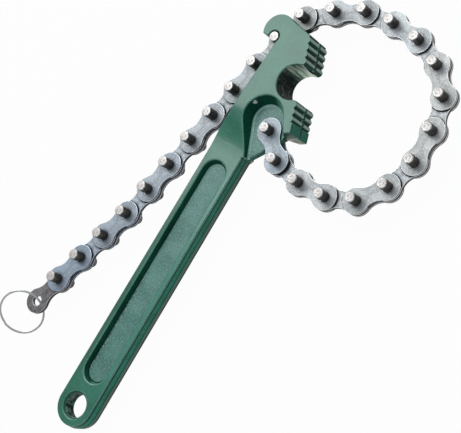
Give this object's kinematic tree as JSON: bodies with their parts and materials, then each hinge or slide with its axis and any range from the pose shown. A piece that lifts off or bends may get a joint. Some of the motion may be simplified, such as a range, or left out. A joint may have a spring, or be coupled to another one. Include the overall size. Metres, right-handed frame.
{
  "type": "chain oil filter wrench",
  "caption": "Forged hand wrench with a toothed head and a plate chain that loops round an oil filter and catches by a long pin in a forked hook, with a wire ring at the chain's free end.",
  "frame": {"origin": "centre of the hanging hole, half way through the grip", "axes": "+Y up the handle from the hanging hole to the head, +Z along the chain pins to the front, +X towards the chain loop"},
  "size_m": [0.163, 0.244, 0.0176],
  "materials": {
    "green_paint": "satin",
    "plate_steel": "satin",
    "end_plate_steel": "satin",
    "pin_steel": "bright",
    "ring_wire": "bright"
  },
  "bodies": {
    "handle": {"handle": "green_paint"},
    "link_01": {"outer_plates_1": "plate_steel", "link_pins_1": "pin_steel"},
    "link_02": {"inner_plate_1": "plate_steel"},
    "link_03": {"outer_plates_2": "plate_steel", "link_pins_2": "pin_steel"},
    "link_04": {"inner_plate_2": "plate_steel"},
    "link_05": {"outer_plates_3": "plate_steel", "link_pins_3": "pin_steel"},
    "link_06": {"inner_plate_3": "plate_steel"},
    "link_07": {"outer_plates_4": "plate_steel", "link_pins_4": "pin_steel"},
    "link_08": {"inner_plate_4": "plate_steel"},
    "link_09": {"outer_plates_5": "plate_steel", "link_pins_5": "pin_steel"},
    "link_10": {"inner_plate_5": "plate_steel"},
    "link_11": {"outer_plates_6": "plate_steel", "link_pins_6": "pin_steel"},
    "link_12": {"inner_plate_6": "plate_steel"},
    "link_13": {"outer_plates_7": "plate_steel", "link_pins_7": "pin_steel"},
    "link_14": {"inner_plate_7": "plate_steel"},
    "link_15": {"outer_plates_8": "plate_steel", "link_pins_8": "pin_steel"},
    "link_16": {"inner_plate_8": "plate_steel"},
    "link_17": {"outer_plates_9": "plate_steel", "link_pins_9": "pin_steel"},
    "link_18": {"inner_plate_9": "plate_steel"},
    "link_19": {"outer_plates_10": "plate_steel", "link_pins_10": "pin_steel"},
    "link_20": {"inner_plate_10": "plate_steel"},
    "link_21": {"outer_plates_11": "plate_steel", "link_pins_11": "pin_steel"},
    "link_22": {"inner_plate_11": "plate_steel"},
    "link_23": {"outer_plates_12": "plate_steel", "link_pins_12": "pin_steel"},
    "link_24": {"inner_plate_12": "plate_steel"},
    "link_25": {"outer_plates_13": "plate_steel", "link_pins_13": "pin_steel"},
    "link_26": {"inner_plate_13": "end_plate_steel"},
    "ring": {"wire_ring": "ring_wire"}
  },
  "joints": [
    {"name": "loop_pin_00", "type": "hinge", "parent": "handle", "child": "link_01", "pos_m": [0.014, 0.157, 0], "axis": [0, 0, 1], "range_deg": [-6.1, 6.1]},
    {"name": "loop_pin_01", "type": "hinge", "parent": "link_01", "child": "link_02", "pos_m": [0.0258, 0.14638, 0], "axis": [0, 0, 1], "range_deg": [-12, 12]},
    {"name": "loop_pin_02", "type": "hinge", "parent": "link_02", "child": "link_03", "pos_m": [0.04133, 0.14309, 0], "axis": [0, 0, 1], "range_deg": [-10.8, 10.8]},
    {"name": "loop_pin_03", "type": "hinge", "parent": "link_03", "child": "link_04", "pos_m": [0.05721, 0.14338, 0], "axis": [0, 0, 1], "range_deg": [-4.8, 4.8]},
    {"name": "loop_pin_04", "type": "hinge", "parent": "link_04", "child": "link_05", "pos_m": [0.07212, 0.14882, 0], "axis": [0, 0, 1], "range_deg": [-13, 13]},
    {"name": "loop_pin_05", "type": "hinge", "parent": "link_05", "child": "link_06", "pos_m": [0.08232, 0.16098, 0], "axis": [0, 0, 1], "range_deg": [-10, 10]},
    {"name": "loop_pin_06", "type": "hinge", "parent": "link_06", "child": "link_07", "pos_m": [0.08721, 0.17608, 0], "axis": [0, 0, 1], "range_deg": [-0.9, 0.9]},
    {"name": "loop_pin_07", "type": "hinge", "parent": "link_07", "child": "link_08", "pos_m": [0.08693, 0.19196, 0], "axis": [0, 0, 1], "range_deg": [-0.4, 0.4]},
    {"name": "loop_pin_08", "type": "hinge", "parent": "link_08", "child": "link_09", "pos_m": [0.08308, 0.20736, 0], "axis": [0, 0, 1], "range_deg": [-0.9, 0.9]},
    {"name": "loop_pin_09", "type": "hinge", "parent": "link_09", "child": "link_10", "pos_m": [0.07204, 0.21877, 0], "axis": [0, 0, 1], "range_deg": [-6.1, 6.1]},
    {"name": "loop_pin_10", "type": "hinge", "parent": "link_10", "child": "link_11", "pos_m": [0.05754, 0.22522, 0], "axis": [0, 0, 1], "range_deg": [-15.2, 15.2]},
    {"name": "loop_pin_11", "type": "hinge", "parent": "link_11", "child": "link_12", "pos_m": [0.04178, 0.22715, 0], "axis": [0, 0, 1], "range_deg": [-8.8, 8.8]},
    {"name": "loop_pin_12", "type": "hinge", "parent": "link_12", "child": "link_13", "pos_m": [0.02593, 0.22631, 0], "axis": [0, 0, 1], "range_deg": [-6.9, 6.9]},
    {"name": "loop_pin_13", "type": "hinge", "parent": "link_13", "child": "link_14", "pos_m": [0.01132, 0.22009, 0], "axis": [0, 0, 1], "range_deg": [-13.7, 13.7]},
    {"name": "loop_pin_14", "type": "hinge", "parent": "link_14", "child": "link_15", "pos_m": [-0.00189, 0.21129, 0], "axis": [0, 0, 1], "range_deg": [-8.7, 8.7]},
    {"name": "tail_pin_15", "type": "hinge", "parent": "handle", "child": "link_16", "pos_m": [-0.0074, 0.1964, 0], "axis": [0, 0, 1], "range_deg": [-60, 1.5]},
    {"name": "tail_pin_16", "type": "hinge", "parent": "link_16", "child": "link_17", "pos_m": [-0.01178, 0.18114, 0], "axis": [0, 0, -1], "range_deg": [-6, 60]},
    {"name": "tail_pin_17", "type": "hinge", "parent": "link_17", "child": "link_18", "pos_m": [-0.01535, 0.16567, 0], "axis": [0, 0, 1], "range_deg": [-60, 9]},
    {"name": "tail_pin_18", "type": "hinge", "parent": "link_18", "child": "link_19", "pos_m": [-0.01892, 0.1502, 0], "axis": [0, 0, -1], "range_deg": [-12, 60]},
    {"name": "tail_pin_19", "type": "hinge", "parent": "link_19", "child": "link_20", "pos_m": [-0.02249, 0.13474, 0], "axis": [0, 0, 1], "range_deg": [-60, 16]},
    {"name": "tail_pin_20", "type": "hinge", "parent": "link_20", "child": "link_21", "pos_m": [-0.02606, 0.11927, 0], "axis": [0, 0, -1], "range_deg": [-20, 60]},
    {"name": "tail_pin_21", "type": "hinge", "parent": "link_21", "child": "link_22", "pos_m": [-0.02963, 0.1038, 0], "axis": [0, 0, 1], "range_deg": [-60, 24]},
    {"name": "tail_pin_22", "type": "hinge", "parent": "link_22", "child": "link_23", "pos_m": [-0.0332, 0.08833, 0], "axis": [0, 0, -1], "range_deg": [-30, 60]},
    {"name": "tail_pin_23", "type": "hinge", "parent": "link_23", "child": "link_24", "pos_m": [-0.03837, 0.07332, 0], "axis": [0, 0, 1], "range_deg": [-60, 40]},
    {"name": "tail_pin_24", "type": "hinge", "parent": "link_24", "child": "link_25", "pos_m": [-0.04354, 0.05831, 0], "axis": [0, 0, -1], "range_deg": [-50, 60]},
    {"name": "tail_pin_25", "type": "hinge", "parent": "link_25", "child": "link_26", "pos_m": [-0.04871, 0.0433, 0], "axis": [0, 0, 1], "range_deg": [-60, 60]},
    {"name": "ring_swing", "type": "hinge", "parent": "link_26", "child": "ring", "pos_m": [-0.05388, 0.02829, 0], "axis": [0, 0, 1], "range_deg": [-90, 90]}
  ],
  "couplings": [
    {"joint": "loop_pin_00", "follows": "loop_pin_01", "ratio": 0.503},
    {"joint": "loop_pin_02", "follows": "loop_pin_01", "ratio": 0.8959},
    {"joint": "loop_pin_03", "follows": "loop_pin_01", "ratio": -0.3949},
    {"joint": "loop_pin_04", "follows": "loop_pin_01", "ratio": -1.0743},
    {"joint": "loop_pin_05", "follows": "loop_pin_01", "ratio": -0.8304},
    {"joint": "loop_pin_06", "follows": "loop_pin_01", "ratio": -0.0684},
    {"joint": "loop_pin_07", "follows": "loop_pin_01", "ratio": -0.0294},
    {"joint": "loop_pin_08", "follows": "loop_pin_01", "ratio": -0.0718},
    {"joint": "loop_pin_09", "follows": "loop_pin_01", "ratio": 0.5042},
    {"joint": "loop_pin_10", "follows": "loop_pin_01", "ratio": 1.2594},
    {"joint": "loop_pin_11", "follows": "loop_pin_01", "ratio": 0.7308},
    {"joint": "loop_pin_12", "follows": "loop_pin_01", "ratio": -0.5693},
    {"joint": "loop_pin_13", "follows": "loop_pin_01", "ratio": -1.1376},
    {"joint": "loop_pin_14", "follows": "loop_pin_01", "ratio": -0.7171}
  ]
}
